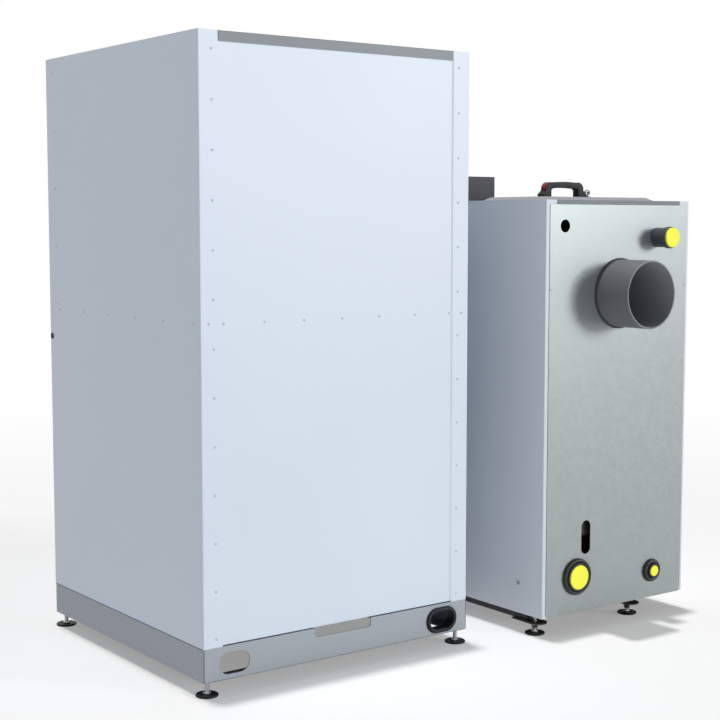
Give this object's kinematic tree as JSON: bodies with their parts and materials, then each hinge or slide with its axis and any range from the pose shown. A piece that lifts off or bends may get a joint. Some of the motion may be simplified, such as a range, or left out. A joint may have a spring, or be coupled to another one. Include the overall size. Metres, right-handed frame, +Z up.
{
  "type": "pellet boiler",
  "caption": "Wood pellet boiler: a tall pellet hopper cabinet joined by a feed auger to a lower boiler cabinet with door, ash drawer, flue spigot and water stubs.",
  "frame": {"origin": "on the floor, at the centre of the rectangle that covers the whole object seen from above", "axes": "+Z up; -Y towards the front with the door, the drawer and the display; +Y the way the flue and the water stubs leave the back; +X towards the hopper cabinet"},
  "size_m": [1.345, 0.935, 1.35],
  "materials": {
    "casing_white": "satin powder coat",
    "frame_grey": "satin powder coat",
    "galvanised": "smooth zinc coated",
    "black_paint": "matt",
    "boiler_steel": "matt heat-resistant paint",
    "plain_steel": "mill finish",
    "zinc": "bright zinc",
    "chrome": "polished",
    "cast_iron": "as cast",
    "motor_grey": "as cast",
    "door_black": "matt heat-resistant paint",
    "rope": "braided glass fibre",
    "rubber_black": "matt",
    "plastic_black": "fine grain",
    "plastic_grey": "fine grain",
    "plastic_red": "smooth",
    "plastic_yellow": "smooth",
    "display": "polished"
  },
  "bodies": {
    "cabinets": {"blower_housing": "black_paint", "blower_motor": "motor_grey", "boiler_base": "black_paint", "boiler_front_frame": "black_paint", "boiler_rear_panel": "galvanised", "boiler_rivets": "zinc", "boiler_side_left": "casing_white", "boiler_side_right": "casing_white", "boiler_top_cover": "frame_grey", "boiler_vessel": "boiler_steel", "burner_pot": "cast_iron", "cable_sleeve": "plastic_black", "control_housing": "plastic_grey", "display_glass": "display", "drain_stub": "boiler_steel", "feed_tube": "galvanised", "firebox": "boiler_steel", "flue_gasket": "rubber_black", "flue_spigot": "boiler_steel", "foot_nuts": "zinc", "gear_motor": "motor_grey", "heat_exchanger": "boiler_steel", "hinge_pins": "plain_steel", "hopper_front_panel": "casing_white", "hopper_funnel": "galvanised", "hopper_plinth": "frame_grey", "hopper_rear_panel": "casing_white", "hopper_rivets": "casing_white", "hopper_side_left": "casing_white", "hopper_side_right": "casing_white", "hopper_top_frame": "frame_grey", "lid_seal": "rubber_black", "return_stub": "boiler_steel", "side_hole_plugs": "plastic_black", "stub_rosettes": "rubber_black", "supply_stub": "boiler_steel"},
    "lid": {"hopper_lid": "casing_white"},
    "auger": {"feed_auger": "plain_steel"},
    "door": {"boiler_door": "casing_white", "door_liner": "door_black", "door_seal": "rope", "door_handle": "plastic_grey"},
    "drawer": {"ash_drawer": "casing_white"},
    "cover": {"cleaning_cover": "frame_grey", "cover_handle": "plastic_grey", "cover_handle_caps": "plastic_red", "ring_nut": "chrome"},
    "fan_wheel": {"blower_wheel": "black_paint"},
    "plug_supply": {"supply_plug": "plastic_yellow"},
    "plug_return": {"return_plug": "plastic_yellow"},
    "plug_drain": {"drain_plug": "plastic_yellow"},
    "rocker": {"power_switch": "plastic_grey"},
    "foot_hopper_front_left": {"hopper_foot_front_left": "plastic_black"},
    "foot_hopper_rear_left": {"hopper_foot_rear_left": "plastic_black"},
    "foot_hopper_front_right": {"hopper_foot_front_right": "plastic_black"},
    "foot_hopper_rear_right": {"hopper_foot_rear_right": "plastic_black"},
    "foot_boiler_front_right": {"boiler_foot_front_right": "plastic_black"},
    "foot_boiler_rear_right": {"boiler_foot_rear_right": "plastic_black"},
    "foot_boiler_front_left": {"boiler_foot_front_left": "plastic_black"},
    "foot_boiler_rear_left": {"boiler_foot_rear_left": "plastic_black"}
  },
  "joints": [
    {"name": "lid_hinge", "type": "hinge", "parent": "cabinets", "child": "lid", "pos_m": [0.3165, 0.182, 1.345], "axis": [-1, 0, 0], "range_deg": [0, 100]},
    {"name": "auger_spin", "type": "hinge", "parent": "cabinets", "child": "auger", "pos_m": [0.3165, -0.075, 0.4], "axis": [1, 0, 0], "continuous": true},
    {"name": "door_hinge", "type": "hinge", "parent": "cabinets", "child": "door", "pos_m": [-0.6585, -0.4085, 0.586], "axis": [0, 0, -1], "range_deg": [0, 110]},
    {"name": "ash_drawer_slide", "type": "slide", "parent": "cabinets", "child": "drawer", "axis": [0, -1, 0], "range_m": [0, 0.4]},
    {"name": "cleaning_cover_lift", "type": "slide", "parent": "cabinets", "child": "cover", "axis": [0, 0, 1], "range_m": [0, 0.15]},
    {"name": "blower_spin", "type": "hinge", "parent": "cabinets", "child": "fan_wheel", "pos_m": [-0.3425, 0.2945, 0.26], "axis": [0, 1, 0], "continuous": true},
    {"name": "supply_plug_pull", "type": "slide", "parent": "cabinets", "child": "plug_supply", "axis": [0, 1, 0], "range_m": [0, 0.03]},
    {"name": "return_plug_pull", "type": "slide", "parent": "cabinets", "child": "plug_return", "axis": [0, 1, 0], "range_m": [0, 0.03]},
    {"name": "drain_plug_pull", "type": "slide", "parent": "cabinets", "child": "plug_drain", "axis": [0, 1, 0], "range_m": [0, 0.03]},
    {"name": "power_switch_rock", "type": "hinge", "parent": "cabinets", "child": "rocker", "pos_m": [-0.2425, -0.40575, 1.0408], "axis": [-1, 0, 0], "range_deg": [0, 16]},
    {"name": "hopper_foot_front_left_turn", "type": "hinge", "parent": "cabinets", "child": "foot_hopper_front_left", "pos_m": [-0.0155, -0.4105, 0.005], "axis": [0, 0, 1], "continuous": true},
    {"name": "hopper_foot_rear_left_turn", "type": "hinge", "parent": "cabinets", "child": "foot_hopper_rear_left", "pos_m": [-0.0155, 0.2605, 0.005], "axis": [0, 0, 1], "continuous": true},
    {"name": "hopper_foot_front_right_turn", "type": "hinge", "parent": "cabinets", "child": "foot_hopper_front_right", "pos_m": [0.6485, -0.4105, 0.005], "axis": [0, 0, 1], "continuous": true},
    {"name": "hopper_foot_rear_right_turn", "type": "hinge", "parent": "cabinets", "child": "foot_hopper_rear_right", "pos_m": [0.6485, 0.2605, 0.005], "axis": [0, 0, 1], "continuous": true},
    {"name": "boiler_foot_front_right_turn", "type": "hinge", "parent": "cabinets", "child": "foot_boiler_front_right", "pos_m": [-0.2135, -0.3345, 0.005], "axis": [0, 0, 1], "continuous": true},
    {"name": "boiler_foot_rear_right_turn", "type": "hinge", "parent": "cabinets", "child": "foot_boiler_rear_right", "pos_m": [-0.2135, 0.3185, 0.005], "axis": [0, 0, 1], "continuous": true},
    {"name": "boiler_foot_front_left_turn", "type": "hinge", "parent": "cabinets", "child": "foot_boiler_front_left", "pos_m": [-0.5255, -0.3345, 0.005], "axis": [0, 0, 1], "continuous": true},
    {"name": "boiler_foot_rear_left_turn", "type": "hinge", "parent": "cabinets", "child": "foot_boiler_rear_left", "pos_m": [-0.5255, 0.3185, 0.005], "axis": [0, 0, 1], "continuous": true}
  ]
}
